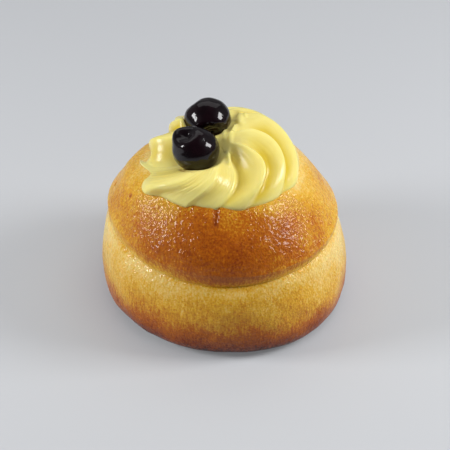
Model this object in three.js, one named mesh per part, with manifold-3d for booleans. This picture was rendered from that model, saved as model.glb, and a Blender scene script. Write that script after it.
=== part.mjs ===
// A savarin: a small yeast cake baked in a round mould and turned out, soaked in syrup, with a
// star-piped rosette of custard on its crown and two dark syrup cherries pressed into the custard.
// Millimetres, +Z up. The origin is the middle of the flat base. The side seen from the front,
// where the cherries lean, faces -Y.

import * as THREE from 'three';
import Module from 'manifold-3d';
import { mergeVertices } from 'three/addons/utils/BufferGeometryUtils.js';

const wasm = await Module();
wasm.setup();

// ---------------------------------------------------------------- driving dimensions (mm, degrees)

const GAP = 0.3; // clearance between pieces that touch

const CAKE = {
  baseRadius: 30.9, // flat foot it stands on
  baseRound: 10.2, // how far the foot's edge runs out before it turns up
  bellyRadius: 44, // widest
  bellyHeight: 13.4, // height of the widest ring
  bellyRise: 8.9, // fullness of the belly above its widest ring
  bellyFall: 12, // fullness of the belly below its widest ring
  creaseRadius: 39.5, // where the dough sprang over the mould's rim
  creaseHeight: 31.7,
  creaseShelf: 2, // nearly level run of dough just outside the crease
  wallRadius: 40.8,
  wallHeight: 37, // the crown leaves the upright here and slopes in
  rimRadius: 25, // ring on top round the hollow
  rimHeight: 56.3,
  rimRound: 5, // how far the rim's roundness runs out over the slope
  hollowRadius: 12,
  hollowHeight: 52.4,
};

const UNEVEN = {
  lean: -0.028, // sideways shift towards -X for each mm of height
  sag: 0.052, // how much lower the +X side is, as a share of the height at the widest
  lobes: -0.015, // three-sided swelling, as a share of the radius
  lobesPhase: 20,
  creaseWave: 1.7, // how far the crease dips and rises as it goes round
  creaseWavePhase: -50,
  creaseReach: 6, // height over which that wave fades out
  slump: 4.6, // drop of the crown's top, with all that lies on it, towards slumpAzimuth
  slumpAzimuth: 140,
  slumpLow: 46, // height at which the slump starts
  slumpInner: 4, // and the radii between which it grows
  slumpOuter: 22,
  cheek: 1.8, // how much fuller the crown is in front
  cheekAzimuth: -85,
  cheekHeight: 43,
  cheekReach: 6.5, // height over which that fullness fades out
};

const SWIRL = {
  seatHeight: 53.2, // level at which the points meet the crown
  rootHeight: 49, // the piped mass is started below the crown, then cut to it
  middleRise: 12.4, // height of the middle, where the nozzle lifted away
  middleReach: 14.1, // radius inside which the top levels out to it
  middleX: -2.8, // the middle lies off the ring's centre
  middleY: -1.6,
  crown: 2, // exponent of the dome's section: 2 is a circle, higher is boxier
  twistLag: 1.55, // above 1 the ridges start upright and turn most near the top
  furrowStart: 0.1, // the furrows reach their depth between these shares of the climb
  furrowEnd: 0.5,
  ringCrowding: 1.7, // above 1 the rings lie closer together near the top
  seatDepth: 0.5, // depth of the notches between the points, where they are blunt
  sharpDepth: 3, // further depth where they are sharpest
  sharpAzimuth: 178,
  bluntSteepness: 0.26, // share of a tooth's pitch taken by its steep side
  sharpSteepness: 0.4,
};

// One ridge for each tooth of the piping tube: the azimuth of its point, how far out that lies, how
// high its shoulder rises, how boxy it is, how far it turns as it climbs, the furrow
// after it, and how late the broad side behind that furrow swells up to the next crest.
const RIDGES = [
  { azimuth: 16.7, reach: 27.8, rise: 16.2, girth: 4.4, twist: 60.6, furrow: 3, swell: 0.85 },
  { azimuth: 41.2, reach: 28.6, rise: 16.2, girth: 3.7, twist: 48.2, furrow: 3, swell: 0.85 },
  { azimuth: 76, reach: 28.3, rise: 17.6, girth: 4.6, twist: 45, furrow: 3, swell: 0.85 },
  { azimuth: 106, reach: 27.7, rise: 17, girth: 4.6, twist: 36, furrow: 2, swell: 0.85 },
  { azimuth: 134.4, reach: 26.2, rise: 19.8, girth: 2.9, twist: 17, furrow: 2.8, swell: 0.9 },
  { azimuth: 159.1, reach: 27.5, rise: 13.5, girth: 5.6, twist: 14, furrow: 1.6, swell: 1 },
  { azimuth: 172.2, reach: 29.6, rise: 5.6, girth: 2.6, twist: 36.9, furrow: 1, swell: 1.9 },
  { azimuth: 213.9, reach: 32.4, rise: 12.6, girth: 3.3, twist: 43.4, furrow: 0.5, swell: 1 },
  { azimuth: 243.2, reach: 29.5, rise: 13.2, girth: 4.2, twist: 32.1, furrow: 0.8, swell: 0.9 },
  { azimuth: 261.9, reach: 28.4, rise: 11.6, girth: 2.4, twist: 37, furrow: 1.9, swell: 0.85 },
  { azimuth: 281.9, reach: 28.2, rise: 15.8, girth: 5.6, twist: 44.6, furrow: 3, swell: 0.85 },
  { azimuth: 310.1, reach: 27.5, rise: 17.7, girth: 4.4, twist: 55.7, furrow: 3.2, swell: 0.85 },
  { azimuth: 333.7, reach: 27.9, rise: 16.2, girth: 7, twist: 72, furrow: 3, swell: 0.85 },
];

// Where a tooth's steep side and its broad side are cut into columns, as shares of that side.
const STEEP_CUTS = [0, 0.5];
const BROAD_CUTS = [0, 0.18, 0.38, 0.58, 0.78, 0.93];

const CHERRIES = {
  front: {
    centre: [-10.9, -9.1, 66.8],
    radii: [8.2, 7.9, 7.5],
    hollow: [-0.42, -0.08, 0.9], // direction of the pit left by the stem and the stone
    hollowDepth: 1.8,
    hollowWidth: 17,
    lipAngle: 34, // of the swollen edge round the hollow
    lobe: [-0.73, 0.41, 0.54], // where it swells, or is pressed flat when the height is below 0
    lobeHeight: 1.3,
    lobeWidth: 20,
    contact: 0.62, // how far below its middle the custard touches it, as a share
    bank: 0.8, // how steeply the custard rises away from it
  },
  back: {
    centre: [-7.1, 6.9, 69.1],
    radii: [8.1, 7.4, 7],
    hollow: [0.17, -0.94, -0.29],
    hollowDepth: 1.6,
    hollowWidth: 24,
    lipAngle: 40,
    lobe: [-0.6, 0.45, 0.66],
    lobeHeight: -0.9,
    lobeWidth: 26,
    contact: 0.05,
    bank: 3,
  },
};

const CHERRY_LIP = { width: 14, height: 0.45 };

const CAKE_SEGMENTS = 72;
const SWIRL_RINGS = 15;
const CHERRY_SEGMENTS = 26;
const CHERRY_RINGS = 16;

// ---------------------------------------------------------------------------------- small helpers

const radians = THREE.MathUtils.degToRad;
const smoothstep = THREE.MathUtils.smoothstep;
const lerp = THREE.MathUtils.lerp;

// How near an azimuth lies to another: 1 when equal, 0 from a right angle on.
function towards(azimuth, other) {
  return Math.max(Math.cos(radians(azimuth - other)), 0) ** 2;
}

// A soft bump of height 1 that has faded to a third at the given width.
function bump(distance, width) {
  return Math.exp(-((distance / width) ** 2));
}

// One rounded stretch of a profile, as (radius, height) points, without its first point.
function roundedStretch(from, fromHandle, toHandle, to, steps) {
  const curve = new THREE.CubicBezierCurve(
    new THREE.Vector2(...from),
    new THREE.Vector2(...fromHandle),
    new THREE.Vector2(...toHandle),
    new THREE.Vector2(...to),
  );
  return curve.getPoints(steps).slice(1);
}

// Turns a profile about the Z axis and moves every vertex by the given function.
function turned(profile, segments, move) {
  const geometry = new THREE.LatheGeometry(profile, segments);
  geometry.rotateX(Math.PI / 2);
  return moved(geometry, move);
}

function moved(geometry, move) {
  const position = geometry.getAttribute('position');
  const point = new THREE.Vector3();
  for (let i = 0; i < position.count; i += 1) {
    point.fromBufferAttribute(position, i);
    move(point);
    position.setXYZ(i, point.x, point.y, point.z);
  }
  return geometry;
}

// The geometry as a closed solid: shared vertices merged and the slivers at the poles dropped.
function solid(geometry) {
  geometry.deleteAttribute('normal');
  geometry.deleteAttribute('uv');
  const merged = mergeVertices(geometry, 1e-4);
  const corners = merged.getIndex().array;
  const triangles = [];
  for (let i = 0; i < corners.length; i += 3) {
    const [a, b, c] = corners.subarray(i, i + 3);
    if (a !== b && b !== c && c !== a) {
      triangles.push(a, b, c);
    }
  }
  const mesh = new wasm.Mesh({
    numProp: 3,
    vertProperties: new Float32Array(merged.getAttribute('position').array),
    triVerts: new Uint32Array(triangles),
  });
  return new wasm.Manifold(mesh);
}

function geometryOf(manifold) {
  const mesh = manifold.getMesh();
  const geometry = new THREE.BufferGeometry();
  geometry.setAttribute('position', new THREE.BufferAttribute(mesh.vertProperties, 3));
  geometry.setIndex(new THREE.BufferAttribute(mesh.triVerts, 1));
  geometry.computeVertexNormals();
  return geometry;
}

// ------------------------------------------------------------------------------------- the cake

// The crown's slope from its upright wall to the rim and down into the shallow hollow on top.
function crownSlope() {
  const { wallRadius, wallHeight, rimRadius, rimHeight, rimRound } = CAKE;
  const { hollowRadius, hollowHeight } = CAKE;
  const slope = roundedStretch(
    [wallRadius, wallHeight],
    [wallRadius, wallHeight + 0.5],
    [rimRadius + rimRound, rimHeight],
    [rimRadius, rimHeight],
    12,
  );
  const middle = (rimRadius + hollowRadius) / 2;
  const hollow = roundedStretch(
    [rimRadius, rimHeight],
    [middle, rimHeight],
    [middle, hollowHeight],
    [hollowRadius, hollowHeight],
    4,
  );
  return [...slope, ...hollow];
}

function cakeProfile() {
  const { baseRadius, baseRound, bellyRadius, bellyHeight, bellyFall, bellyRise } = CAKE;
  const { creaseRadius, creaseHeight, creaseShelf } = CAKE;
  const { wallRadius, wallHeight, hollowHeight } = CAKE;
  const lowerBelly = roundedStretch(
    [baseRadius, 0],
    [baseRadius + baseRound, 0],
    [bellyRadius, bellyHeight - bellyFall],
    [bellyRadius, bellyHeight],
    8,
  );
  const upperBelly = roundedStretch(
    [bellyRadius, bellyHeight],
    [bellyRadius, bellyHeight + bellyRise],
    [creaseRadius + creaseShelf, creaseHeight - 1],
    [creaseRadius, creaseHeight],
    8,
  );
  const roundedLip = roundedStretch(
    [creaseRadius, creaseHeight],
    [wallRadius - 0.4, creaseHeight + 0.6],
    [wallRadius, wallHeight - 2.5],
    [wallRadius, wallHeight],
    3,
  );
  return [
    new THREE.Vector2(0, 0),
    new THREE.Vector2(baseRadius, 0),
    ...lowerBelly,
    ...upperBelly,
    ...roundedLip,
    ...crownSlope(),
    new THREE.Vector2(0, hollowHeight),
  ];
}

// A hand-shaped cake is never true: it leans, sags to one side, its crease wanders and its top
// slumps. What lies on the crown moves with it.
function makeUneven(point) {
  const azimuth = THREE.MathUtils.radToDeg(Math.atan2(point.y, point.x));
  const radius = Math.hypot(point.x, point.y);
  const height = point.z;
  const swelling = 1 + UNEVEN.lobes * Math.cos(radians(3 * azimuth - UNEVEN.lobesPhase));
  const sag = 1 - (UNEVEN.sag * point.x) / CAKE.bellyRadius;
  const nearCrease = bump(height - CAKE.creaseHeight, UNEVEN.creaseReach);
  const fade = nearCrease * smoothstep(radius, 0, CAKE.baseRadius);
  const wave = UNEVEN.creaseWave * Math.cos(radians(2 * azimuth - UNEVEN.creaseWavePhase)) * fade;
  const high = smoothstep(height, UNEVEN.slumpLow, CAKE.rimHeight);
  const onTop = high * smoothstep(radius, UNEVEN.slumpInner, UNEVEN.slumpOuter);
  const slump = UNEVEN.slump * towards(azimuth, UNEVEN.slumpAzimuth) * onTop;
  const cheek = UNEVEN.cheek * towards(azimuth, UNEVEN.cheekAzimuth);
  const fuller = bump(height - UNEVEN.cheekHeight, UNEVEN.cheekReach) / CAKE.wallRadius;
  const wider = swelling * (1 + cheek * fuller);
  point.x = point.x * wider + UNEVEN.lean * height;
  point.y *= wider;
  point.z = height === 0 ? 0 : height * sag + wave - slump;
}

function cakeSolid() {
  return solid(turned(cakeProfile(), CAKE_SEGMENTS, makeUneven));
}

// The space that the crown and its clearance take up, from just below the swirl's root.
function crownSpace() {
  const outline = crownSlope().filter((point) => point.y > SWIRL.rootHeight - 4);
  const raised = outline.map((point, i) => {
    const before = outline[Math.max(i - 1, 0)];
    const after = outline[Math.min(i + 1, outline.length - 1)];
    const along = after.clone().sub(before).normalize();
    return new THREE.Vector2(point.x + GAP * along.y, point.y - GAP * along.x);
  });
  const foot = SWIRL.rootHeight - 4;
  const profile = [
    new THREE.Vector2(0, foot),
    new THREE.Vector2(raised[0].x, foot),
    ...raised,
    new THREE.Vector2(0, CAKE.hollowHeight + GAP),
  ];
  return solid(turned(profile, CAKE_SEGMENTS, makeUneven));
}

// ---------------------------------------------------------------------------- the custard swirl

// A point of the swirl's skin. The column says at which azimuth its ridge starts, where it lies
// between valley and crest, and how its ridge is shaped; climb goes from 0 at the seat to 1 in the
// middle of the top.
function swirlPoint({ root, lift, reach, rise, girth, twist, furrow }, climb) {
  const angle = (climb * Math.PI) / 2;
  const azimuth = radians(root + twist * Math.sin(angle) ** SWIRL.twistLag);
  const out = reach * Math.cos(angle) ** (2 / girth);
  const shoulder = lerp(SWIRL.middleRise, rise, smoothstep(out, 0, SWIRL.middleReach));
  const notch = SWIRL.seatDepth + SWIRL.sharpDepth * towards(root, SWIRL.sharpAzimuth);
  const furrowed = smoothstep(climb, SWIRL.furrowStart, SWIRL.furrowEnd);
  const depth = lerp(notch, furrow, furrowed) * (1 - lift) * (1 - climb ** 6);
  const radius = Math.max(out - depth * Math.cos(angle), 0);
  const height = shoulder * Math.sin(angle) ** (2 / SWIRL.crown) - depth * Math.sin(angle);
  const drift = Math.sin(angle) ** 2;
  const x = SWIRL.middleX * drift + radius * Math.cos(azimuth);
  const y = SWIRL.middleY * drift + radius * Math.sin(azimuth);
  return new THREE.Vector3(x, y, SWIRL.seatHeight + height);
}

// The columns of the swirl's skin, each following one ridge or valley from its root upwards. A
// tooth drops steeply from its crest to a valley and then swells up broadly to the next crest.
function swirlColumns() {
  return RIDGES.flatMap((ridge, i) => {
    const after = RIDGES[(i + 1) % RIDGES.length];
    const pitch = (after.azimuth - ridge.azimuth + 360) % 360;
    const sharp = towards(ridge.azimuth + pitch / 2, SWIRL.sharpAzimuth);
    const steep = lerp(SWIRL.bluntSteepness, SWIRL.sharpSteepness, sharp);
    const column = (share, lift) => {
      const shift = smoothstep(share, 0, 1);
      return {
        root: ridge.azimuth + pitch * share,
        lift,
        reach: lerp(ridge.reach, after.reach, shift),
        rise: lerp(ridge.rise, after.rise, shift),
        girth: lerp(ridge.girth, after.girth, shift),
        twist: lerp(ridge.twist, after.twist, shift),
        furrow: ridge.furrow,
      };
    };
    const drop = STEEP_CUTS.map((cut) => column(steep * cut, 1 - smoothstep(cut, 0, 1)));
    const swell = BROAD_CUTS.map((cut) =>
      column(lerp(steep, 1, cut), smoothstep(cut, 0, 1) ** ridge.swell),
    );
    return [...drop, ...swell];
  });
}

// How high the custard may lie beside a cherry: it starts where they touch and rises up a bank.
function bankLevel({ centre, radii, contact, bank }, point) {
  const away = Math.hypot((point.x - centre[0]) / radii[0], (point.y - centre[1]) / radii[1]);
  const touching = Math.sqrt(1 - contact * contact);
  if (away < touching) {
    return Infinity;
  }
  return centre[2] - radii[2] * contact + bank * (away - touching) * radii[0];
}

// Moves a point of the swirl with the cake, and down to the bank round each cherry.
function settle(point) {
  makeUneven(point);
  for (const cherry of Object.values(CHERRIES)) {
    point.z = Math.min(point.z, bankLevel(cherry, point));
  }
}

// The piped mass down to its root, as a closed skin of rings with a point above and below.
function pipedMass() {
  const columns = swirlColumns();
  const positions = [];
  const indices = [];
  for (const column of columns) {
    const { x, y } = swirlPoint(column, 0);
    positions.push(x, y, SWIRL.rootHeight);
  }
  for (let ring = 0; ring < SWIRL_RINGS; ring += 1) {
    const climb = 1 - (1 - ring / SWIRL_RINGS) ** SWIRL.ringCrowding;
    for (const column of columns) {
      positions.push(...swirlPoint(column, climb).toArray());
    }
  }
  const count = columns.length;
  const rings = SWIRL_RINGS + 1;
  const top = rings * count;
  const bottom = top + 1;
  positions.push(SWIRL.middleX, SWIRL.middleY, SWIRL.seatHeight + SWIRL.middleRise);
  positions.push(0, 0, SWIRL.rootHeight);
  for (let column = 0; column < count; column += 1) {
    const beside = (column + 1) % count;
    indices.push(bottom, beside, column);
    indices.push(top, top - count + column, top - count + beside);
    for (let ring = 0; ring < rings - 1; ring += 1) {
      const low = ring * count;
      const high = low + count;
      indices.push(low + column, low + beside, high + column);
      indices.push(low + beside, high + beside, high + column);
    }
  }
  const geometry = new THREE.BufferGeometry();
  geometry.setAttribute('position', new THREE.Float32BufferAttribute(positions, 3));
  geometry.setIndex(indices);
  return solid(moved(geometry, settle));
}

function swirlSolid() {
  let swirl = pipedMass().subtract(crownSpace());
  for (const cherry of Object.values(CHERRIES)) {
    swirl = swirl.subtract(cherrySolid(cherry, GAP));
  }
  return swirl;
}

// ----------------------------------------------------------------------------------- the cherries

// A stoned cherry: a squat ball with one hollow and a lobe, grown all over by the given allowance.
function cherrySolid(cherry, grow = 0) {
  const ball = new THREE.SphereGeometry(1, CHERRY_SEGMENTS, CHERRY_RINGS);
  const pole = new THREE.Vector3(0, 1, 0);
  const aim = new THREE.Vector3(...cherry.hollow).normalize();
  const lobe = new THREE.Vector3(...cherry.lobe).normalize();
  const turn = new THREE.Quaternion().setFromUnitVectors(pole, aim);
  const centre = new THREE.Vector3(...cherry.centre);
  const shaped = moved(ball, (point) => {
    const outward = point.clone().applyQuaternion(turn);
    const fromHollow = THREE.MathUtils.radToDeg(outward.angleTo(aim));
    const fromLobe = THREE.MathUtils.radToDeg(outward.angleTo(lobe));
    const pit = cherry.hollowDepth * bump(fromHollow, cherry.hollowWidth);
    const lip = CHERRY_LIP.height * bump(fromHollow - cherry.lipAngle, CHERRY_LIP.width);
    const swollen = cherry.lobeHeight * bump(fromLobe, cherry.lobeWidth);
    point.set(...cherry.radii).multiply(outward);
    point.addScaledVector(outward, grow + lip + swollen - pit).add(centre);
  });
  return solid(shaped);
}

// ------------------------------------------------------------------------------------ the savarin

function piece(name, manifold, color, roughness) {
  const material = new THREE.MeshStandardMaterial({ color, roughness, metalness: 0 });
  const mesh = new THREE.Mesh(geometryOf(manifold), material);
  mesh.name = name;
  return mesh;
}

const group = new THREE.Group();
group.add(piece('savarin_cake', cakeSolid(), 0xc98a34, 0.45));
group.add(piece('custard_swirl', swirlSolid(), 0xe6d672, 0.3));
group.add(piece('cherry_front', cherrySolid(CHERRIES.front), 0x1f0a12, 0.12));
group.add(piece('cherry_back', cherrySolid(CHERRIES.back), 0x1f0a12, 0.12));

export default group;
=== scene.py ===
"""The looks of a small savarin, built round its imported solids.

A yeast cake soaked in syrup carries a star-piped rosette of custard and two cherries in dark syrup.
Sizes are named in millimetres and turned to metres when a mesh is made. +Z is up, and the side seen
from the front, where the cherries lean, faces -Y.
"""

from __future__ import annotations

import logging
import math
from dataclasses import dataclass
from enum import Enum
from typing import Any, Iterable, Sequence

import bpy
import numpy as np
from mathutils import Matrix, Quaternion, Vector, noise


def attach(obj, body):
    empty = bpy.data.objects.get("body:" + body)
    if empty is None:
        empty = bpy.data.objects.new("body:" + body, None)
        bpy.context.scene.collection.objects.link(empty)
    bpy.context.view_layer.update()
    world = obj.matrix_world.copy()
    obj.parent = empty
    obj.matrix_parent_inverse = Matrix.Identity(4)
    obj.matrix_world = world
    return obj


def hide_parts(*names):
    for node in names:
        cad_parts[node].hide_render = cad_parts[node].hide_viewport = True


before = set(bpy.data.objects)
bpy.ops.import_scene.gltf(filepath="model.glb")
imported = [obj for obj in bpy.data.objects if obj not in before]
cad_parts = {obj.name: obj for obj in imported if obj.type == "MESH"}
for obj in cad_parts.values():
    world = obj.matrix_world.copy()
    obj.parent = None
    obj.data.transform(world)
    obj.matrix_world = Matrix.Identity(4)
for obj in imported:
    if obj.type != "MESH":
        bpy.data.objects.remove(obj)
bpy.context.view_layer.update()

LOG = logging.getLogger("savarin")
MM = 0.001
BODY = "root"

Point = tuple[float, float, float]
Link = bpy.types.NodeSocket


class Slot(Enum):
    """The record's material slots."""

    CAKE = "soaked_cake"
    CUSTARD = "custard"
    CHERRY = "cherry"


# ---------------------------------------------------------------------------------- small helpers


def smoothstep(value: np.ndarray | float, low: float, high: float) -> np.ndarray:
    """Rises smoothly from 0 at low to 1 at high."""
    share = np.clip((np.asarray(value, float) - low) / (high - low), 0.0, 1.0)
    return share * share * (3 - 2 * share)


def lerp(low: np.ndarray | float, high: np.ndarray | float, share: np.ndarray | float) -> np.ndarray:
    """Goes from low to high as share goes from 0 to 1."""
    return low + (high - low) * share


def towards(azimuth: np.ndarray | float, other: float) -> np.ndarray:
    """How near an azimuth lies to another: 1 when equal, 0 from a right angle on."""
    return np.maximum(np.cos(np.radians(azimuth - other)), 0.0) ** 2


def bump(distance: np.ndarray | float, width: float) -> np.ndarray:
    """A soft bump of height 1 that has faded to a third at the given width."""
    return np.exp(-((np.asarray(distance) / width) ** 2))


def rounded_stretch(corners: Sequence[Sequence[float]], steps: int) -> np.ndarray:
    """One rounded stretch of a profile.

    Args:
        corners: Its start, the two handles and its end, as (radius, height).
        steps: How many pieces it is cut into.

    Returns:
        The points after the start, one row each.
    """
    start, first, second, end = (np.array(corner, float) for corner in corners)
    t = np.linspace(0, 1, steps + 1)[1:, None]
    return (1 - t) ** 3 * start + 3 * t * (1 - t) ** 2 * first + 3 * t * t * (1 - t) * second + t**3 * end


def mottle(points: np.ndarray, size: float, seed: float) -> np.ndarray:
    """Smooth noise, about -1 to 1.

    Args:
        points: Places in mm, the last axis being x, y and z.
        size: Size of a lump in mm.
        seed: Shift that makes one noise differ from another.

    Returns:
        One value for each point.
    """
    flat = points.reshape(-1, 3) / size + seed
    values = np.fromiter((noise.noise(Vector(row)) for row in flat), float, len(flat))
    return values.reshape(points.shape[:-1])


def grid_normals(grid: np.ndarray) -> np.ndarray:
    """Outward normals of a skin of rings, each running round anticlockwise and rising."""
    across = np.roll(grid, -1, axis=1) - np.roll(grid, 1, axis=1)
    upward = np.gradient(grid, axis=0)
    normals = np.cross(across, upward)
    return normals / np.maximum(np.linalg.norm(normals, axis=2, keepdims=True), 1e-9)


def from_line(points: np.ndarray, corners: Sequence[Point]) -> np.ndarray:
    """Distance in mm of each point from a line through the given corners."""
    nearest = np.full(points.shape[:-1], np.inf)
    for start, end in zip(corners[:-1], corners[1:]):
        a = np.array(start, float)
        along = np.array(end, float) - a
        share = np.clip(((points - a) @ along) / (along @ along), 0, 1)
        away = points - (a + share[..., None] * along)
        nearest = np.minimum(nearest, np.linalg.norm(away, axis=-1))
    return nearest


def skin_faces(rings: int, columns: int) -> list[tuple[int, ...]]:
    """Faces of a closed skin of rings, whose poles below and above come last among its vertices."""
    bottom = rings * columns
    top = bottom + 1
    faces: list[tuple[int, ...]] = []
    for column in range(columns):
        beside = (column + 1) % columns
        faces.append((bottom, beside, column))
        faces.append((top, bottom - columns + column, bottom - columns + beside))
        for ring in range(rings - 1):
            low = ring * columns
            high = low + columns
            faces.append((low + column, low + beside, high + beside, high + column))
    return faces


def closed_skin(name: str, grid: np.ndarray, below: Point, above: Point,
                attributes: dict[str, np.ndarray] | None = None) -> bpy.types.Object:
    """Makes one closed, smooth-shaded mesh out of rings of points.

    Args:
        name: The piece's name.
        grid: Rings of points in mm, from the lowest up.
        below: The pole that closes the first ring.
        above: The pole that closes the last ring.
        attributes: Values for each point of the grid, which the piece's material reads.

    Returns:
        The new object, already in the scene.
    """
    rings, columns = grid.shape[:2]
    vertices = np.vstack([grid.reshape(-1, 3), below, above]) * MM
    mesh = bpy.data.meshes.new(name)
    mesh.from_pydata(vertices.tolist(), [], skin_faces(rings, columns))
    for key, values in (attributes or {}).items():
        layer = mesh.attributes.new(key, "FLOAT", "POINT")
        poles = [values[0].mean(), values[-1].mean()]
        layer.data.foreach_set("value", np.concatenate([values.ravel(), poles]).astype(np.float32))
    mesh.shade_smooth()
    mesh.update()
    piece = bpy.data.objects.new(name, mesh)
    bpy.context.scene.collection.objects.link(piece)
    return piece


def hand_over(piece: bpy.types.Object, slot: Slot, *nodes: str) -> None:
    """Puts a piece on the part's body, in the place of the named solids."""
    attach(piece, BODY)
    if nodes:
        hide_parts(*nodes)
    LOG.info("%s: %d faces", piece.name, len(piece.data.polygons))


# ---------------------------------------------------------------------------------- finishes

MIX_A, MIX_B, MIX_RESULT = 6, 7, 2  # sockets of a Mix node that mixes colours


def linear(hex_colour: str) -> tuple[float, float, float, float]:
    """Turns an sRGB hex colour into linear values, with full alpha."""
    shares = [int(hex_colour[i:i + 2], 16) / 255 for i in (1, 3, 5)]
    red, green, blue = (s / 12.92 if s <= 0.04045 else ((s + 0.055) / 1.055) ** 2.4 for s in shares)
    return (red, green, blue, 1.0)


def add_node(tree: bpy.types.NodeTree, kind: str, inputs: dict[str | int, Any] | None = None,
             stops: Iterable[tuple[float, str]] = (), **settings: Any) -> bpy.types.Node:
    """Adds one node to a tree.

    Args:
        tree: The material's or the world's node tree.
        kind: The node's type.
        inputs: For each socket either its value or the output that is linked to it.
        stops: Places and hex colours of a colour ramp.
        settings: The node's own settings.

    Returns:
        The new node.
    """
    node = tree.nodes.new(kind)
    for key, value in settings.items():
        setattr(node, key, value)
    for key, value in (inputs or {}).items():
        if isinstance(value, Link):
            tree.links.new(value, node.inputs[key])
        else:
            node.inputs[key].default_value = value
    for i, (place, colour) in enumerate(stops):
        elements = node.color_ramp.elements
        stop = elements[i] if i < 2 else elements.new(place)
        stop.position = place
        stop.color = linear(colour)
    return node


def new_material(name: str) -> tuple[bpy.types.Material, bpy.types.NodeTree]:
    """A material with an empty node tree."""
    material = bpy.data.materials.new(name)
    material.use_nodes = True
    material.node_tree.nodes.clear()
    return material, material.node_tree


def finish_tree(tree: bpy.types.NodeTree, surface: dict[str, Any]) -> None:
    """Closes a material's tree with its shader, given the shader's inputs."""
    shader = add_node(tree, "ShaderNodeBsdfPrincipled", surface)
    add_node(tree, "ShaderNodeOutputMaterial", {"Surface": shader.outputs["BSDF"]})


@dataclass(frozen=True)
class SoakedCrumb:
    """Yeast dough baked in a mould and soaked in syrup: fine pores under a thin wet film.

    The eye reads it as a mottled golden-brown grain that lets some light through, with small hard
    glints where the film bridges the pores.
    """

    crumb: str = "#f0d486"
    golden: str = "#dfaa2e"
    amber: str = "#b5620d"
    brown: str = "#883a0b"
    scorched: str = "#3e0e03"
    pore: float = 0.75  # mm, drawn a little coarser than real so that it shows
    streak: float = 0.7  # mm across a streak; the dough is drawn out upwards as it rises
    streak_length: float = 3.0
    film_ripple: float = 1.5  # mm, how far apart the film's bridges lie
    patch: float = 7.0  # mm, uneven browning
    film_roughness: float = 0.08
    film_weight: float = 0.55
    film_relief: float = 0.7  # mm, how high the bridges stand
    pit_depth: float = 0.16  # mm
    patch_share: float = 0.25  # how much each pattern shifts the browning
    streak_share: float = 0.40
    grain_share: float = 0.46
    light_depth: float = 2.2  # mm that light goes in

    def material(self) -> bpy.types.Material:
        """The finish as a Blender material."""
        material, tree = new_material("syrup_soaked_yeast_cake")
        place = add_node(tree, "ShaderNodeTexCoord").outputs["Object"]
        # This attribute holds the crust's browning together with painted shade: the front drawn browner,
        # darker grooves and pits, and a dark rim at the foot.
        browning_and_shade = add_node(tree, "ShaderNodeAttribute", attribute_name="browning_and_shade").outputs["Fac"]
        drawn = add_node(tree, "ShaderNodeMapping", {
            "Vector": place, "Scale": (1, 1, self.streak / self.streak_length)})
        patches = add_node(tree, "ShaderNodeTexNoise", {
            "Vector": place, "Scale": 1 / (self.patch * MM), "Detail": 3.0, "Roughness": 0.6})
        streaks = add_node(tree, "ShaderNodeTexNoise", {
            "Vector": drawn.outputs["Vector"], "Scale": 1 / (self.streak * MM), "Detail": 2.0})
        pores = add_node(tree, "ShaderNodeTexVoronoi", {
            "Vector": place, "Scale": 1 / (self.pore * MM), "Randomness": 1.0})
        grain = add_node(tree, "ShaderNodeTexNoise", {
            "Vector": place, "Scale": 1 / (self.pore * MM), "Detail": 2.0, "Roughness": 0.7})
        # Uneven browning, streaks and pores each shift the browning a little up or down.
        level = browning_and_shade
        for source, share in ((patches.outputs["Fac"], self.patch_share),
                              (streaks.outputs["Fac"], self.streak_share),
                              (grain.outputs["Fac"], self.grain_share)):
            centred = add_node(tree, "ShaderNodeMath", {0: source, 1: 0.5}, operation="SUBTRACT")
            level = add_node(tree, "ShaderNodeMath", {
                0: centred.outputs[0], 1: share, 2: level}, operation="MULTIPLY_ADD").outputs[0]
        colour = add_node(tree, "ShaderNodeValToRGB", {"Fac": level}, stops=(
            (0.0, self.crumb), (1.0, self.scorched), (0.26, self.golden), (0.52, self.amber),
            (0.78, self.brown)))
        relief = add_node(tree, "ShaderNodeMath", {
            0: pores.outputs["Distance"], 1: grain.outputs["Fac"]}, operation="ADD")
        pitted = add_node(tree, "ShaderNodeBump", {
            "Height": relief.outputs[0], "Distance": self.pit_depth * MM, "Strength": 1.0})
        ripple = add_node(tree, "ShaderNodeTexNoise", {
            "Vector": place, "Scale": 1 / (self.film_ripple * MM), "Detail": 1.5})
        film = add_node(tree, "ShaderNodeBump", {
            "Height": ripple.outputs["Fac"], "Distance": self.film_relief * MM, "Strength": 1.0})
        finish_tree(tree, {
            "Base Color": colour.outputs["Color"],
            "Roughness": 0.55,
            "IOR": 1.4,
            "Specular IOR Level": 0.1,
            "Subsurface Weight": 0.28,
            "Subsurface Radius": (1.0, 0.45, 0.15),
            "Subsurface Scale": self.light_depth * MM,
            "Coat Weight": self.film_weight,
            "Coat Roughness": self.film_roughness,
            "Coat IOR": 1.42,
            "Normal": pitted.outputs["Normal"],
            "Coat Normal": film.outputs["Normal"],
        })
        return material


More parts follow.
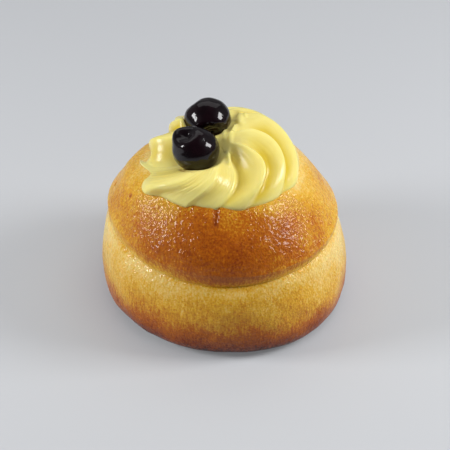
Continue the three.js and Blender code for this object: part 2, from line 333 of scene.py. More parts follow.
@dataclass(frozen=True)
class PastryCream:
    """Cooked egg custard, piped cold: smooth and dense, with a soft gloss.

    Light goes a little way in, so crests are pale and the deep folds glow golden; that glow and the shade
    in the folds are also painted into the colour as a deeper golden.
    """

    crest: str = "#f1e389"
    # Painted shade: the deeper golden of the folds, for the light that glows and is shaded in them.
    fold_shade: str = "#d9be38"
    # Juice colour, also used for a painted contact shadow where the cherries touch the custard.
    juice_and_shade_colour: str = "#8a4a12"
    skin_roughness: float = 0.27
    cloud_size: float = 6.0  # mm, slow changes of tone
    cloud_share: float = 0.25
    silk_size: float = 1.4  # mm, fine unevenness of the piped skin
    silk_height: float = 0.05  # mm
    light_depth: float = 3.0  # mm that light goes in

    def material(self) -> bpy.types.Material:
        """The finish as a Blender material."""
        material, tree = new_material("piped_egg_custard")
        place = add_node(tree, "ShaderNodeTexCoord").outputs["Object"]
        # Painted shade: this attribute colours the folds a deeper golden, for the light that glows and is
        # shaded in them.
        fold_shade = add_node(tree, "ShaderNodeAttribute", attribute_name="fold_shade").outputs["Fac"]
        # This attribute is real juice together with a painted contact shadow round the cherries.
        stain_and_shade = add_node(tree, "ShaderNodeAttribute", attribute_name="stain_and_shade").outputs["Fac"]
        cloud = add_node(tree, "ShaderNodeTexNoise", {
            "Vector": place, "Scale": 1 / (self.cloud_size * MM), "Detail": 2.0})
        uneven = add_node(tree, "ShaderNodeMath", {
            0: cloud.outputs["Fac"], 1: self.cloud_share, 2: fold_shade}, operation="MULTIPLY_ADD")
        body = add_node(tree, "ShaderNodeValToRGB", {"Fac": uneven.outputs[0]}, stops=(
            (0.1, self.crest), (1.0, self.fold_shade)))
        stained_and_shaded = add_node(tree, "ShaderNodeMix", {
            "Factor": stain_and_shade, MIX_A: body.outputs["Color"], MIX_B: linear(self.juice_and_shade_colour)},
            data_type="RGBA")
        silk = add_node(tree, "ShaderNodeTexNoise", {
            "Vector": place, "Scale": 1 / (self.silk_size * MM), "Detail": 2.0})
        skin = add_node(tree, "ShaderNodeBump", {
            "Height": silk.outputs["Fac"], "Distance": self.silk_height * MM, "Strength": 0.5})
        finish_tree(tree, {
            "Base Color": stained_and_shaded.outputs[MIX_RESULT],
            "Roughness": self.skin_roughness,
            "IOR": 1.42,
            "Specular IOR Level": 0.5,
            "Subsurface Weight": 0.5,
            "Subsurface Radius": (1.0, 0.92, 0.5),
            "Subsurface Scale": self.light_depth * MM,
            "Normal": skin.outputs["Normal"],
        })
        return material


@dataclass(frozen=True)
class SyrupCherrySkin:
    """Sour cherry kept in syrup: near-black purple skin, wrinkled a little, under a thick wet film."""

    skin: str = "#080104"
    bruise: str = "#15040a"
    cloud_size: float = 5.0  # mm, from dark skin to bruise
    wrinkle_size: float = 1.6  # mm
    wrinkle_height: float = 0.08  # mm
    film_roughness: float = 0.05

    def material(self) -> bpy.types.Material:
        """The finish as a Blender material."""
        material, tree = new_material("cherry_in_dark_syrup")
        place = add_node(tree, "ShaderNodeTexCoord").outputs["Object"]
        cloud = add_node(tree, "ShaderNodeTexNoise", {
            "Vector": place, "Scale": 1 / (self.cloud_size * MM), "Detail": 3.0})
        colour = add_node(tree, "ShaderNodeValToRGB", {"Fac": cloud.outputs["Fac"]}, stops=(
            (0.35, self.skin), (0.75, self.bruise)))
        fine = add_node(tree, "ShaderNodeTexNoise", {
            "Vector": place, "Scale": 1 / (self.wrinkle_size * MM), "Detail": 2.0})
        wrinkled = add_node(tree, "ShaderNodeBump", {
            "Height": fine.outputs["Fac"], "Distance": self.wrinkle_height * MM, "Strength": 0.6})
        finish_tree(tree, {
            "Base Color": colour.outputs["Color"],
            "Roughness": 0.4,
            "IOR": 1.4,
            "Specular IOR Level": 0.05,
            "Coat Weight": 1.0,
            "Coat Roughness": self.film_roughness,
            "Coat IOR": 1.42,
            "Normal": wrinkled.outputs["Normal"],
            "Coat Normal": wrinkled.outputs["Normal"],
        })
        return material


@dataclass(frozen=True)
class PaleBoard:
    """Matt painted board that the cake stands on: pale, slightly blue grey."""

    paint: str = "#b0b2b5"
    paint_shade: str = "#abadb1"
    glow: float = 0.3  # painted light: the board glows by itself, most near the cake, so that shadows on it stay faint
    glow_start: float = 0.25  # m from the cake, where that light begins to fade
    glow_end: float = 0.6

    def material(self) -> bpy.types.Material:
        """The finish as a Blender material."""
        material, tree = new_material("pale_painted_board")
        place = add_node(tree, "ShaderNodeTexCoord").outputs["Object"]
        cloud = add_node(tree, "ShaderNodeTexNoise", {"Vector": place, "Scale": 4.0, "Detail": 1.0})
        colour = add_node(tree, "ShaderNodeValToRGB", {"Fac": cloud.outputs["Fac"]}, stops=(
            (0.0, self.paint_shade), (1.0, self.paint)))
        away = add_node(tree, "ShaderNodeVectorMath", {0: place}, operation="LENGTH")
        glow = add_node(tree, "ShaderNodeMapRange", {
            "Value": away.outputs["Value"], "From Min": self.glow_start, "From Max": self.glow_end,
            "To Min": self.glow, "To Max": 0.0})
        finish_tree(tree, {
            "Base Color": colour.outputs["Color"],
            "Roughness": 0.9,
            "Emission Color": linear(self.paint),
            "Emission Strength": glow.outputs["Result"],
        })
        return material


# ---------------------------------------------------------------------------------- the cake


@dataclass(frozen=True)
class Mark:
    """One mark on a skin: a soft ridge, groove or pit along a short line."""

    line: tuple[Point, ...]
    width: float
    height: float  # below 0 it is a groove or a pit
    browning_and_shade: float = 0.0  # on the cake, how much darker the crust is drawn in it, painted shade in grooves and pits, and below 0 painted light on small ridges; on custard, how much juice lies on it


@dataclass
class SavarinCake:
    """The soaked cake: a moulded crown over a pale belly that stands on a browned foot."""

    base_radius: float = 30.9
    base_round: float = 10.2
    belly_radius: float = 44.0
    belly_height: float = 13.4
    belly_rise: float = 8.9
    belly_fall: float = 12.0
    crease_radius: float = 39.5
    crease_height: float = 31.7
    crease_shelf: float = 2.0
    wall_radius: float = 40.8
    wall_height: float = 37.0
    rim_radius: float = 25.0
    rim_height: float = 56.3
    rim_round: float = 5.0
    hollow_radius: float = 12.0
    hollow_height: float = 52.4

    lean: float = -0.028
    sag: float = 0.052
    lobes: float = -0.015
    lobes_phase: float = 20.0
    crease_wave: float = 1.7
    crease_wave_phase: float = -50.0
    crease_reach: float = 6.0
    slump: float = 4.6
    slump_azimuth: float = 140.0
    slump_low: float = 46.0
    slump_inner: float = 4.0
    slump_outer: float = 22.0
    cheek: float = 1.8
    cheek_azimuth: float = -85.0
    cheek_height: float = 43.0
    cheek_reach: float = 6.5

    columns: int = 448
    base_shares: tuple[float, ...] = (0.25, 0.5, 0.75, 0.9, 1.0)  # where the flat base has rings
    lower_steps: int = 34
    upper_steps: int = 36
    lip_steps: int = 14
    slope_steps: int = 26
    hollow_steps: int = 6
    # Painted shade: the front of the crown and belly is drawn browner, and their sides and back paler,
    # for how the light falls.
    painted_shade_azimuth: float = -90.0  # the side painted darkest, as painted shade: it faces neither softbox
    crown_painted_light: float = 0.32  # how much paler the crown's sides and back are painted, as painted light
    belly_painted_light: float = 0.12
    lumps: tuple[Point, ...] = ((17, 0.45, 3.1), (6.5, 0.22, 7.7), (2.4, 0.07, 1.3))  # size, height, seed
    patchiness: float = 0.10
    patch_size: float = 11.0
    patch_seed: float = 5.2
    flat_foot: float = 3.0  # mm above the board where the lumps reach their full height

    marks: tuple[Mark, ...] = (
        # Painted shade and light: the groove and the pits are drawn darker and the V of two small ridges
        # paler, on top of their relief.
        Mark(((-3.8, -27.5, 55.2), (-3.6, -29.5, 53.2), (-3.9, -31.5, 50.8)), 0.9, -0.55, 0.22),
        Mark(((-6.4, -29.3, 53.2), (-6.4, -30.8, 51.6)), 1.3, 0.35),
        Mark(((-2.6, -35.6, 45.3), (-0.9, -37.3, 42.6)), 0.7, 0.25, -0.1),
        Mark(((0.5, -35.8, 45.0), (-0.9, -37.3, 42.6)), 0.7, 0.25, -0.1),
        Mark(((-40.0, 3.2, 43.1), (-40.1, 2.8, 42.9)), 0.6, -0.4, 0.35),
        Mark(((-33.6, -12.4, 49.3), (-33.7, -12.1, 49.2)), 0.8, -0.25, 0.22),
        Mark(((-38.9, -21.0, 9.3), (-38.8, -21.1, 9.1)), 0.6, -0.35, 0.3),
    )

    # Browning from the foot upwards: (height of the profile, how brown). The lowest couple of millimetres
    # of the foot are drawn darkest, partly its real dark crust and partly a painted contact shadow.
    belly_browning_and_shade: tuple[tuple[float, float], ...] = (
        (0.0, 1.25), (1.5, 1.05), (4.5, 0.84), (9.0, 0.66), (14.0, 0.47), (20.0, 0.33), (26.0, 0.24),
        (29.5, 0.16), (31.7, 0.24))
    crown_browning: tuple[tuple[float, float], ...] = (
        (31.7, 0.24), (32.6, 0.38), (35.0, 0.55), (40.0, 0.64), (47.0, 0.64), (53.0, 0.50), (56.3, 0.38))

    def crown_slope(self, finer: int = 1) -> np.ndarray:
        """The crown from its upright wall to the rim and down into the hollow, as (radius, height)."""
        wall = (self.wall_radius, self.wall_height)
        rim = (self.rim_radius, self.rim_height)
        middle = (self.rim_radius + self.hollow_radius) / 2
        slope = rounded_stretch([
            wall, (self.wall_radius, self.wall_height + 0.5),
            (self.rim_radius + self.rim_round, self.rim_height), rim], self.slope_steps * finer)
        hollow = rounded_stretch([
            rim, (middle, self.rim_height), (middle, self.hollow_height),
            (self.hollow_radius, self.hollow_height)], self.hollow_steps * finer)
        return np.vstack([slope, hollow])

    def profile(self) -> np.ndarray:
        """The whole outline from the foot's middle to the hollow's, as (radius, height)."""
        foot = (self.base_radius, 0.0)
        belly = (self.belly_radius, self.belly_height)
        crease = (self.crease_radius, self.crease_height)
        wall = (self.wall_radius, self.wall_height)
        base = [(self.base_radius * share, 0.0) for share in self.base_shares]
        lower = rounded_stretch([
            foot, (self.base_radius + self.base_round, 0),
            (self.belly_radius, self.belly_height - self.belly_fall), belly], self.lower_steps)
        upper = rounded_stretch([
            belly, (self.belly_radius, self.belly_height + self.belly_rise),
            (self.crease_radius + self.crease_shelf, self.crease_height - 1), crease],
            self.upper_steps)
        lip = rounded_stretch([
            crease, (self.wall_radius - 0.4, self.crease_height + 0.6),
            (self.wall_radius, self.wall_height - 2.5), wall], self.lip_steps)
        middle = [(self.hollow_radius * share, self.hollow_height) for share in (0.7, 0.35)]
        return np.vstack([base, lower, upper, lip, self.crown_slope(2), middle])

    def crown_level(self, radius: np.ndarray) -> np.ndarray:
        """Height of the true crown over each radius, before it is made uneven."""
        slope = self.crown_slope(4)[::-1]
        return np.interp(radius, slope[:, 0], slope[:, 1])

    def make_uneven(self, points: np.ndarray) -> np.ndarray:
        """Moves points as the cake leans, sags to one side, and its crease and top wander.

        Args:
            points: Places in mm on the true shape, or on what lies on the crown.

        Returns:
            The moved places.
        """
        x, y, height = points[..., 0], points[..., 1], points[..., 2]
        azimuth = np.degrees(np.arctan2(y, x))
        radius = np.hypot(x, y)
        swelling = 1 + self.lobes * np.cos(np.radians(3 * azimuth - self.lobes_phase))
        sag = 1 - self.sag * x / self.belly_radius
        fade = bump(height - self.crease_height, self.crease_reach)
        fade = fade * smoothstep(radius, 0, self.base_radius)
        wave = self.crease_wave * np.cos(np.radians(2 * azimuth - self.crease_wave_phase)) * fade
        on_top = smoothstep(height, self.slump_low, self.rim_height)
        on_top = on_top * smoothstep(radius, self.slump_inner, self.slump_outer)
        slump = self.slump * towards(azimuth, self.slump_azimuth) * on_top
        cheek = self.cheek * towards(azimuth, self.cheek_azimuth)
        fuller = 1 + cheek * bump(height - self.cheek_height, self.cheek_reach) / self.wall_radius
        moved = np.empty_like(points)
        moved[..., 0] = x * swelling * fuller + self.lean * height
        moved[..., 1] = y * swelling * fuller
        moved[..., 2] = np.where(height == 0, 0, height * sag + wave - slump)
        return moved

    def skin(self) -> tuple[np.ndarray, np.ndarray]:
        """The skin's points and its browning with painted shade, ring by ring."""
        profile = self.profile()
        turn = np.linspace(0, 2 * math.pi, self.columns, endpoint=False)
        radius, height = profile[:, :1], profile[:, 1:]
        true = np.stack([
            radius * np.cos(turn), radius * np.sin(turn), height + np.zeros_like(turn)], axis=-1)
        points = self.make_uneven(true)
        normals = grid_normals(points)
        relief = sum(height_mm * mottle(points, size, seed) for size, height_mm, seed in self.lumps)
        browning_and_shade = self.browning_and_shade(profile, np.degrees(turn))
        browning_and_shade = browning_and_shade + self.patchiness * mottle(points, self.patch_size, self.patch_seed)
        # Each mark adds its relief, and adds painted shade where it is a groove or pit and painted light
        # where it is a small ridge.
        for mark in self.marks:
            near = bump(from_line(points, mark.line), mark.width)
            relief = relief + mark.height * near
            browning_and_shade = browning_and_shade + mark.browning_and_shade * near
        lifted = smoothstep(height, 0, self.flat_foot)
        points = points + normals * (relief * lifted)[..., None]
        return points, browning_and_shade

    def browning_and_shade(self, profile: np.ndarray, azimuth: np.ndarray) -> np.ndarray:
        """How brown the crust is drawn, from 0 for pale crumb to 1 for scorched, painted shade included.
        """
        height = profile[:, 1]
        lip_start = len(self.base_shares) + self.lower_steps + self.upper_steps
        on_crown = np.arange(len(profile)) >= lip_start
        level = np.where(on_crown, np.interp(height, *zip(*self.crown_browning)),
                         np.interp(height, *zip(*self.belly_browning_and_shade)))
        # Painted shade: the front is drawn browner and the sides and back paler, for how the light falls,
        # not for how the cake baked.
        front = towards(azimuth, self.painted_shade_azimuth)
        side = np.where(on_crown, self.crown_painted_light, self.belly_painted_light)
        return level[:, None] - side[:, None] * (1 - front)

    def build(self, finish: SoakedCrumb) -> None:
        """Makes the cake and puts it in the place of its solid."""
        points, browning_and_shade = self.skin()
        top = (self.lean * self.hollow_height, 0.0, self.hollow_height)
        piece = closed_skin("soaked_cake", points, (0, 0, 0), top, {"browning_and_shade": browning_and_shade})
        piece.data.materials.append(finish.material())
        hand_over(piece, Slot.CAKE, "savarin_cake")


# ---------------------------------------------------------------------------------- the cherries


@dataclass
class SyrupCherry:
    """A stoned cherry: a squat ball with one hollow, a swollen lip round it, and a lobe or a flat."""

    name: str
    node: str
    centre: Point
    radii: Point
    hollow: Point
    hollow_depth: float
    hollow_width: float
    lip_angle: float
    lobe: Point  # where it swells, or is pressed flat when the height is below 0
    lobe_height: float
    lobe_width: float
    pucker: Point  # where its skin is wrinkled most
    pucker_height: float
    contact: float  # how far below its middle the custard touches it, as a share
    bank: float  # how steeply the custard rises away from it
    seed: float
    pucker_width: float = 26.0
    lip_width: float = 14.0
    lip_height: float = 0.45
    columns: int = 144
    rings: int = 96

    def ball(self) -> np.ndarray:
        """Directions from the cherry's middle, ring by ring, with the pole in the hollow."""
        fall = np.linspace(math.pi, 0, self.rings + 2)[1:-1, None]
        turn = np.linspace(0, 2 * math.pi, self.columns, endpoint=False)
        out = np.stack([
            np.sin(fall) * np.cos(turn), np.sin(fall) * np.sin(turn), np.cos(fall) + 0 * turn], axis=-1)
        aim = Vector((0, 0, 1)).rotation_difference(Vector(self.hollow).normalized())
        return out @ np.array(aim.to_matrix()).T

    def angle_from(self, outward: np.ndarray, direction: Point) -> np.ndarray:
        """Angle in degrees between outward directions and one direction."""
        aim = np.array(Vector(direction).normalized())
        return np.degrees(np.arccos(np.clip(outward @ aim, -1, 1)))

    def skin(self, outward: np.ndarray) -> np.ndarray:
        """Places in mm on the cherry's skin in the given directions from its middle."""
        angle = self.angle_from(outward, self.hollow)
        pit = self.hollow_depth * bump(angle, self.hollow_width)
        lip = self.lip_height * bump(angle - self.lip_angle, self.lip_width)
        lobe = self.lobe_height * bump(self.angle_from(outward, self.lobe), self.lobe_width)
        body = outward * self.radii
        wrinkles = 0.20 * mottle(body, 5.0, self.seed) + 0.08 * mottle(body, 2.0, self.seed + 4)
        puckered = self.pucker_height * bump(self.angle_from(outward, self.pucker), self.pucker_width)
        wrinkles = wrinkles + puckered * mottle(body, 1.7, self.seed + 8)
        return body + outward * (lip + lobe - pit + wrinkles)[..., None] + self.centre

    def bed(self, x: np.ndarray, y: np.ndarray) -> np.ndarray:
        """How high in mm the custard may lie over each place: under the cherry, then up a bank."""
        away = np.hypot((x - self.centre[0]) / self.radii[0], (y - self.centre[1]) / self.radii[1])
        touching = math.sqrt(1 - self.contact**2)
        drop = self.radii[2] * np.sqrt(np.clip(1 - np.minimum(away, touching) ** 2, 0, 1))
        bank = self.bank * np.maximum(away - touching, 0) * self.radii[0]
        return self.centre[2] - drop + bank

    def build(self, finish: SyrupCherrySkin) -> None:
        """Makes the cherry and puts it in the place of its solid."""
        aim = np.array(Vector(self.hollow).normalized())
        points = self.skin(self.ball())
        below, above = self.skin(np.array([-aim, aim]))
        piece = closed_skin(self.name, points, tuple(below), tuple(above))
        piece.data.materials.append(finish.material())
        hand_over(piece, Slot.CHERRY, self.node)


# ---------------------------------------------------------------------------------- the custard


@dataclass(frozen=True)
class Ridge:
    """One ridge that a tooth of the piping tube left, from its point on the crown to the middle."""

    azimuth: float  # of its point
    reach: float  # from the axis to its point
    rise: float  # of its shoulder over the seat
    girth: float  # how boxy it is: a larger one stays out for longer as it climbs
    twist: float  # how far it turns as it climbs
    furrow: float  # depth of the furrow after it
    swell: float  # how late the broad side behind that furrow swells up to the next crest


@dataclass
class CustardRosette:
    """The piped rosette: a star of ridges that turn as they climb, full on one side and pressed on
    the other, pushed in where the cherries sit."""

    cake: SavarinCake
    cherries: tuple[SyrupCherry, ...]

    ridges: tuple[Ridge, ...] = (
        Ridge(16.7, 27.8, 16.2, 4.4, 60.6, 3.0, 0.85),
        Ridge(41.2, 28.6, 16.2, 3.7, 48.2, 3.0, 0.85),
        Ridge(76.0, 28.3, 17.6, 4.6, 45.0, 3.0, 0.85),
        Ridge(106.0, 27.7, 17.0, 4.6, 36.0, 2.0, 0.85),
        Ridge(134.4, 26.2, 19.8, 2.9, 17.0, 2.8, 0.9),
        Ridge(159.1, 27.5, 13.5, 5.6, 14.0, 1.6, 1.0),
        Ridge(172.2, 29.6, 5.6, 2.6, 36.9, 1.0, 1.9),
        Ridge(213.9, 32.4, 12.6, 3.3, 43.4, 0.5, 1.0),
        Ridge(243.2, 29.5, 13.2, 4.2, 32.1, 0.8, 0.9),
        Ridge(261.9, 28.4, 11.6, 2.4, 37.0, 1.9, 0.85),
        Ridge(281.9, 28.2, 15.8, 5.6, 44.6, 3.0, 0.85),
        Ridge(310.1, 27.5, 17.7, 4.4, 55.7, 3.2, 0.85),
        Ridge(333.7, 27.9, 16.2, 7.0, 72.0, 3.0, 0.85),
    )
    seat_height: float = 53.2
    middle_rise: float = 12.4
    middle_reach: float = 14.1
    middle_x: float = -2.8
    middle_y: float = -1.6
    crown: float = 2.0
    twist_lag: float = 1.55
    deepest: float = 3.0  # a furrow of this depth is painted fully golden, as painted shade
    seat_depth: float = 0.5
    sharp_depth: float = 3.0
    sharp_azimuth: float = 178.0
    blunt_steepness: float = 0.26
    sharp_steepness: float = 0.40

    # Strands that the cherries drew up, then the juice that ran from them.
    marks: tuple[Mark, ...] = (
        Mark(((2.6, 2.7, 67.9), (0.8, -3.0, 66.7), (0.2, -7.8, 64.9), (0.1, -13.9, 64.0)), 0.9, 1.2),
        Mark(((-1.1, 2.5, 66.6), (-0.7, -4.1, 65.9), (-0.8, -10.8, 64.5)), 0.7, 0.9),
        Mark(((4.2, 12.5, 67.4), (4.2, 8.0, 68.1), (4.3, 4.5, 68.4)), 1.3, 0.9),
        Mark(((6.4, 12.0, 67.8), (6.0, 8.5, 68.5)), 0.7, 0.5),
        Mark(((-2.0, 11.3, 65.5), (0.8, 6.9, 67.5), (3.0, 5.9, 68.4)), 0.45, 0.2, 0.3),
        Mark(((-16.5, -11.0, 60.2), (-15.9, -13.9, 61.4), (-14.8, -16.6, 63.1)), 0.7, -0.2, 0.6),
        Mark(((-14.8, -17.4, 63.5), (-12.1, -19.7, 64.9), (-9.6, -19.2, 65.0)), 0.4, -0.1, 0.4),
    )

    scratch: float = 3.2  # degrees of azimuth from one scratch to the next
    scratch_depth: float = 0.22
    scratch_runs: float = 3.0  # how often a scratch ends and starts again on its way up
    fine_share: float = 0.6  # height of the fine scratches beside the coarse ones
    least_scratched: float = 0.35  # share of their height that is left on the full side
    pressed_azimuth: float = 215.0  # the side whose ridges are flat and scratched most
    steep_cuts: int = 12
    broad_cuts: int = 24
    rings: int = 150
    sunk: float = 0.25  # how far its underside lies below the crown's skin
    softness: float = 0.4  # how gently it bends down to a cherry's bed, in mm
    tuck: float = 0.35  # how far its foot draws in over the crown
    tuck_reach: float = 0.9  # mm above the crown where the foot stops drawing in
    under_shares: tuple[float, ...] = (0.2, 0.4, 0.6, 0.8, 0.93)  # where the underside has rings
    bed_gap: float = 0.1  # mm by which a cherry sits in the custard
    ring_crowding: float = 1.7  # how much closer the rings lie near the middle
    furrow_start: float = 0.1
    furrow_end: float = 0.5
    wet: float = 0.7  # how strongly juice and a painted contact shadow darken the custard where a cherry touches
    wet_reach: float = 0.035  # how far from it, as a share of its radius

    def columns(self) -> tuple[np.ndarray, np.ndarray, np.ndarray]:
        """The skin's columns.

        Returns:
            Their root azimuths, their places between valley, 0, and crest, 1, and the ridge's own
            values at each, one row a column: reach, rise, girth, twist and furrow.
        """
        roots, lifts, values = [], [], []
        for i, ridge in enumerate(self.ridges):
            after = self.ridges[(i + 1) % len(self.ridges)]
            pitch = (after.azimuth - ridge.azimuth) % 360
            sharp = float(towards(ridge.azimuth + pitch / 2, self.sharp_azimuth))
            steep = lerp(self.blunt_steepness, self.sharp_steepness, sharp)
            drop = np.arange(self.steep_cuts) / self.steep_cuts
            swell = np.arange(self.broad_cuts) / self.broad_cuts
            share = np.concatenate([steep * drop, lerp(steep, 1, swell)])
            roots.append(ridge.azimuth + pitch * share)
            lifts += [1 - smoothstep(drop, 0, 1), smoothstep(swell, 0, 1) ** ridge.swell]
            own, other = (np.array([r.reach, r.rise, r.girth, r.twist, ridge.furrow])
                          for r in (ridge, after))
            values.append(lerp(own, other, smoothstep(share, 0, 1)[:, None]))
        return np.concatenate(roots), np.concatenate(lifts), np.concatenate(values)

    def piped(self, root: np.ndarray, lift: np.ndarray, values: np.ndarray,
              climb: np.ndarray) -> np.ndarray:
        """Places on the piped skin, on the true crown.

        Args:
            root: Azimuth at which a column's ridge starts.
            lift: The column's place between valley and crest.
            values: The column's reach, rise, girth, twist and furrow.
            climb: From 0 at the seat to 1 in the middle of the top, one row for each ring.

        Returns:
            The places in mm, ring by ring.
        """
        outer, flank, girth, twist, valley = values.T
        angle = climb * math.pi / 2
        azimuth = root + twist * np.sin(angle) ** self.twist_lag
        reach = outer * np.cos(angle) ** (2 / girth)
        height = lerp(self.middle_rise, flank, smoothstep(reach, 0, self.middle_reach))
        notch = self.seat_depth + self.sharp_depth * towards(root, self.sharp_azimuth)
        opening = smoothstep(climb, self.furrow_start, self.furrow_end)
        depth = lerp(notch, valley, opening) * (1 - lift) * (1 - climb**6)
        radius = np.maximum(reach - depth * np.cos(angle), 0)
        rise = height * np.sin(angle) ** (2 / self.crown) - depth * np.sin(angle)
        drift = np.sin(angle) ** 2
        turn = np.radians(azimuth)
        x = self.middle_x * drift + radius * np.cos(turn)
        y = self.middle_y * drift + radius * np.sin(turn)
        return np.stack([x, y, self.seat_height + rise], axis=-1)

    def skin(self) -> tuple[np.ndarray, dict[str, np.ndarray]]:
        """The skin's points, ring by ring, and the values its finish reads."""
        root, lift, values = self.columns()
        share = np.linspace(0, 1, self.rings, endpoint=False)[:, None]
        climb = 1 - (1 - share) ** self.ring_crowding
        true = self.piped(root, lift, values, climb)
        floor = self.cake.crown_level(np.hypot(true[..., 0], true[..., 1])) - self.sunk
        above = true[..., 2] - floor
        tucked = 1 - self.tuck * bump(np.maximum(above, 0), self.tuck_reach) / self.middle_reach / 2
        true[..., :2] *= tucked[..., None]
        true[..., 2] = np.maximum(true[..., 2], floor)
        under = np.stack([true[0] * (inward, inward, 1) for inward in self.under_shares])
        under[..., 2] = self.cake.crown_level(np.hypot(under[..., 0], under[..., 1])) - self.sunk
        grid = self.cake.make_uneven(np.concatenate([under, true]))
        relief = self.striations(root, climb)
        stain_and_shade = np.zeros(grid.shape[:2])
        for mark in self.marks:
            near = bump(from_line(grid, mark.line), mark.width)
            relief = relief + mark.height * near
            stain_and_shade = np.maximum(stain_and_shade, mark.browning_and_shade * near)
        grid = grid + grid_normals(grid) * relief[..., None]
        for cherry in self.cherries:
            bed = cherry.bed(grid[..., 0], grid[..., 1]) - self.bed_gap
            grid[..., 2] = -self.softness * np.logaddexp(-grid[..., 2] / self.softness,
                                                         -bed / self.softness)
            # Real juice and a painted contact shadow: a thin dark band where each cherry touches the
            # custard.
            away = np.linalg.norm((grid - cherry.centre) / cherry.radii, axis=-1) - 1
            stain_and_shade = np.maximum(stain_and_shade, self.wet * bump(np.maximum(away, 0), self.wet_reach))
        # Painted shade: the folds are coloured deeper golden by furrow depth, nearness to the valley and
        # ring.
        furrows = values[:, 4] / self.deepest
        under_depth = np.zeros((len(self.under_shares), 1))
        fold_shade = (1 - lift) ** 1.5 * furrows * np.concatenate([under_depth, self.fold_shade_share(climb)])
        return grid, {"fold_shade": fold_shade, "stain_and_shade": stain_and_shade}

    def striations(self, root: np.ndarray, climb: np.ndarray) -> np.ndarray:
        """Fine scratches that the tube's teeth drew along the ridges, in mm for each point."""
        across, along = np.broadcast_arrays(root / self.scratch, self.scratch_runs * climb)
        coarse = mottle(np.stack([across, along, 0 * along], axis=-1), 1.0, 5.0)
        fine = mottle(np.stack([2.3 * across, 1.6 * along, 0 * along], axis=-1), 1.0, 8.0)
        pressed = lerp(self.least_scratched, 1.0, towards(root, self.pressed_azimuth))
        height = self.scratch_depth * pressed * (coarse + self.fine_share * fine)
        height = height * smoothstep(climb, 0.08, 0.3) * (1 - smoothstep(climb, 0.85, 1.0))
        return np.concatenate([np.zeros((len(self.under_shares), len(root))), height])

    def fold_shade_share(self, climb: np.ndarray) -> np.ndarray:
        """How strongly each ring's folds are painted with golden shade, as a share."""
        return smoothstep(climb, 0, 0.3) * (1 - smoothstep(climb, 0.75, 1))

    def build(self, finish: PastryCream) -> None:
        """Makes the rosette and puts it in the place of its solid."""
        grid, attributes = self.skin()
        below = tuple(grid[0].mean(axis=0))
        above = tuple(grid[-1].mean(axis=0))
        piece = closed_skin("custard_rosette", grid, below, above, attributes)
        piece.data.materials.append(finish.material())
        hand_over(piece, Slot.CUSTARD, "custard_swirl")


# ---------------------------------------------------------------------------------- the studio


@dataclass(frozen=True)
class Softbox:
    """One large soft light."""

    name: str
    azimuth: float
    elevation: float
    distance: float
    width: float
    height: float
    power: float
    glints: bool = True  # whether glossy skins mirror it

    def build(self, target: Vector) -> None:
        """Hangs the light and turns it to the target."""
        light = bpy.data.lights.new(self.name, "AREA")
        light.shape = "RECTANGLE"
        light.size = self.width
        light.size_y = self.height
        light.energy = self.power
        lamp = bpy.data.objects.new(self.name, light)
        azimuth, elevation = math.radians(self.azimuth), math.radians(self.elevation)
        level = math.cos(elevation)
        away = Vector((level * math.cos(azimuth), level * math.sin(azimuth), math.sin(elevation)))
        lamp.location = target + away * self.distance
        lamp.visible_glossy = self.glints
        lamp.rotation_euler = (-away).to_track_quat("-Z", "Y").to_euler()
        bpy.context.scene.collection.objects.link(lamp)


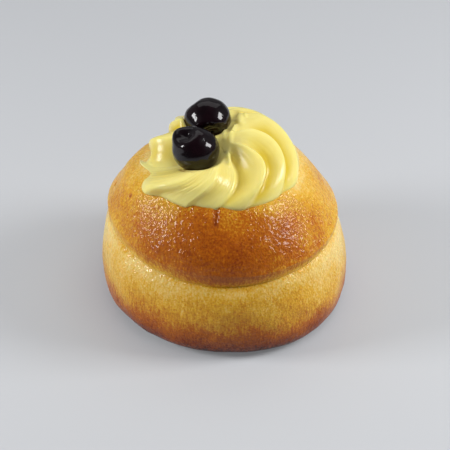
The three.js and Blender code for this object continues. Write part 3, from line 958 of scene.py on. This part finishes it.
@dataclass
class Studio:
    """A pale board under two softboxes, seen from the front and well above."""

    camera_elevation: float = 37.2
    camera_distance: float = 700.0
    camera_height: float = 30.0
    aim_x: float = -0.79
    aim_height: float = 27.2
    lens: float = 156.2
    roll: float = 0.2
    board_width: float = 6.0
    room_colour: str = "#f3f6fb"
    room_behind: float = 0.22  # strength of the room's light from behind the cake
    room_in_front: float = 0.06
    softboxes: tuple[Softbox, ...] = (
        Softbox("softbox_left", -170, 27, 0.62, 0.19, 0.21, 2.5),
        Softbox("softbox_right", -3, 34, 0.62, 0.22, 0.27, 2.9),
        Softbox("softbox_back", 88, 54, 0.9, 1.2, 0.5, 1.3),
        Softbox("bounce_from_ceiling", -50, 72, 0.8, 0.7, 0.4, 1.9, glints=False),
    )

    def build(self, board: PaleBoard) -> None:
        """Places the camera, the lights, the board and the surrounding light."""
        self.place_camera()
        for softbox in self.softboxes:
            softbox.build(Vector((0, 0, self.camera_height * MM)))
        self.light_surroundings()
        self.lay_board(board)
        bpy.context.scene.view_settings.view_transform = "Standard"

    def place_camera(self) -> None:
        """Sets the camera where the photograph was taken from."""
        elevation = math.radians(self.camera_elevation)
        away = Vector((0, -math.cos(elevation), math.sin(elevation)))
        location = Vector((0, 0, self.camera_height)) + away * self.camera_distance
        target = Vector((self.aim_x, 0, self.aim_height))
        data = bpy.data.cameras.new("camera")
        data.lens = self.lens
        data.clip_end = 20.0
        camera = bpy.data.objects.new("camera", data)
        camera.location = location * MM
        turned = (target - location).to_track_quat("-Z", "Y")
        camera.rotation_euler = (turned @ Quaternion((0, 0, 1), math.radians(self.roll))).to_euler()
        bpy.context.scene.collection.objects.link(camera)
        bpy.context.scene.camera = camera

    def light_surroundings(self) -> None:
        """A pale room that is darker on the camera's side."""
        world = bpy.data.worlds.new("studio_room")
        world.use_nodes = True
        tree = world.node_tree
        tree.nodes.clear()
        direction = add_node(tree, "ShaderNodeTexCoord").outputs["Generated"]
        facing = add_node(tree, "ShaderNodeVectorMath", {0: direction, 1: (0, -0.8, 0.6)},
                          operation="DOT_PRODUCT")
        shade = add_node(tree, "ShaderNodeMapRange", {
            "Value": facing.outputs["Value"], "From Min": -0.6, "From Max": 0.9,
            "To Min": self.room_behind, "To Max": self.room_in_front})
        room = add_node(tree, "ShaderNodeBackground", {
            "Color": linear(self.room_colour), "Strength": shade.outputs["Result"]})
        add_node(tree, "ShaderNodeOutputWorld", {"Surface": room.outputs["Background"]})
        bpy.context.scene.world = world

    def lay_board(self, board: PaleBoard) -> None:
        """Lays the pale board that the cake stands on."""
        half = self.board_width / 2
        mesh = bpy.data.meshes.new("board")
        mesh.from_pydata([(-half, -half, 0), (half, -half, 0), (half, half, 0), (-half, half, 0)], [],
                         [(0, 1, 2, 3)])
        floor = bpy.data.objects.new("board", mesh)
        floor.data.materials.append(board.material())
        bpy.context.scene.collection.objects.link(floor)


# ---------------------------------------------------------------------------------- the savarin


def main() -> None:
    """Builds the savarin's pieces in order, then the studio round them."""
    logging.basicConfig(level=logging.INFO, format="%(name)s: %(message)s")
    cake = SavarinCake()
    cherries = (
        SyrupCherry("cherry_front_skin", "cherry_front", (-10.9, -9.1, 66.8), (8.2, 7.9, 7.5),
                    hollow=(-0.42, -0.08, 0.9), hollow_depth=1.8, hollow_width=17.0, lip_angle=34.0,
                    lobe=(-0.73, 0.41, 0.54), lobe_height=1.3, lobe_width=20.0,
                    pucker=(-0.55, -0.1, 0.8), pucker_height=0.2, contact=0.62, bank=0.8,
                    seed=2.0),
        SyrupCherry("cherry_back_skin", "cherry_back", (-7.1, 6.9, 69.1), (8.1, 7.4, 7.0),
                    hollow=(0.17, -0.94, -0.29), hollow_depth=1.6, hollow_width=24.0, lip_angle=40.0,
                    lobe=(-0.6, 0.45, 0.66), lobe_height=-0.9, lobe_width=26.0,
                    pucker=(0.25, -0.95, -0.2), pucker_height=0.5, contact=0.05, bank=3.0,
                    seed=9.0),
    )
    cake.build(SoakedCrumb())
    CustardRosette(cake, cherries).build(PastryCream())
    for cherry in cherries:
        cherry.build(SyrupCherrySkin())
    Studio().build(PaleBoard())


if __name__ == "__main__":
    main()
